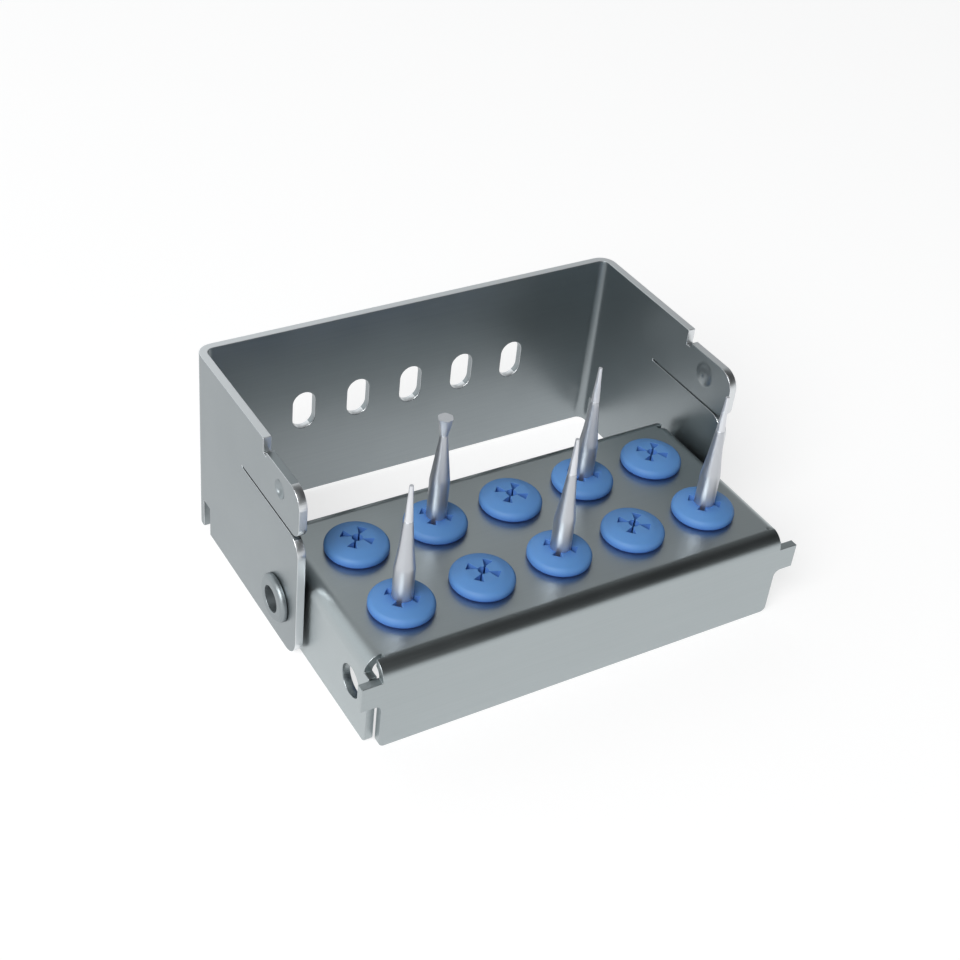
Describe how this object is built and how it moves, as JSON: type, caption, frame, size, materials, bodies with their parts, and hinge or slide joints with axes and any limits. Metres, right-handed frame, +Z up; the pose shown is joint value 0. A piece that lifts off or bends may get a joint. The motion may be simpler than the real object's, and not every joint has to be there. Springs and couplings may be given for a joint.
{
  "type": "dental bur block",
  "caption": "Small folded steel block with a hinged cover and blue rubber grommets that hold dental burs upright.",
  "frame": {"origin": "bottom centre of the whole block with its cover open, on the surface it stands on", "axes": "+X along the long side to the right, +Y to the back where the open cover stands, +Z up"},
  "size_m": [0.059, 0.0438, 0.0277],
  "materials": {
    "satin_steel": "satin folded stainless sheet",
    "rivet_steel": "satin stainless",
    "blue_silicone": "matt silicone",
    "bur_steel": "polished steel shank",
    "carbide": "ground carbide"
  },
  "bodies": {
    "block": {"base": "satin_steel", "pivot_rivet_left": "rivet_steel", "pivot_rivet_right": "rivet_steel", "grommet_front_1": "blue_silicone", "grommet_front_2": "blue_silicone", "grommet_front_3": "blue_silicone", "grommet_front_4": "blue_silicone", "grommet_front_5": "blue_silicone", "grommet_back_1": "blue_silicone", "grommet_back_2": "blue_silicone", "grommet_back_3": "blue_silicone", "grommet_back_4": "blue_silicone", "grommet_back_5": "blue_silicone", "bur_shank_front_1": "bur_steel", "bur_shank_front_3": "bur_steel", "bur_shank_front_5": "bur_steel", "bur_shank_back_2": "bur_steel", "bur_shank_back_4": "bur_steel", "bur_head_front_1": "carbide", "bur_head_front_3": "carbide", "bur_head_front_5": "carbide", "bur_head_back_2": "carbide", "bur_head_back_4": "carbide"},
    "cover": {"cover": "satin_steel"}
  },
  "joints": [
    {"name": "cover_hinge", "type": "hinge", "parent": "block", "child": "cover", "pos_m": [0, -0.00168, 0.0058], "axis": [1, 0, 0], "range_deg": [0, 90]}
  ]
}
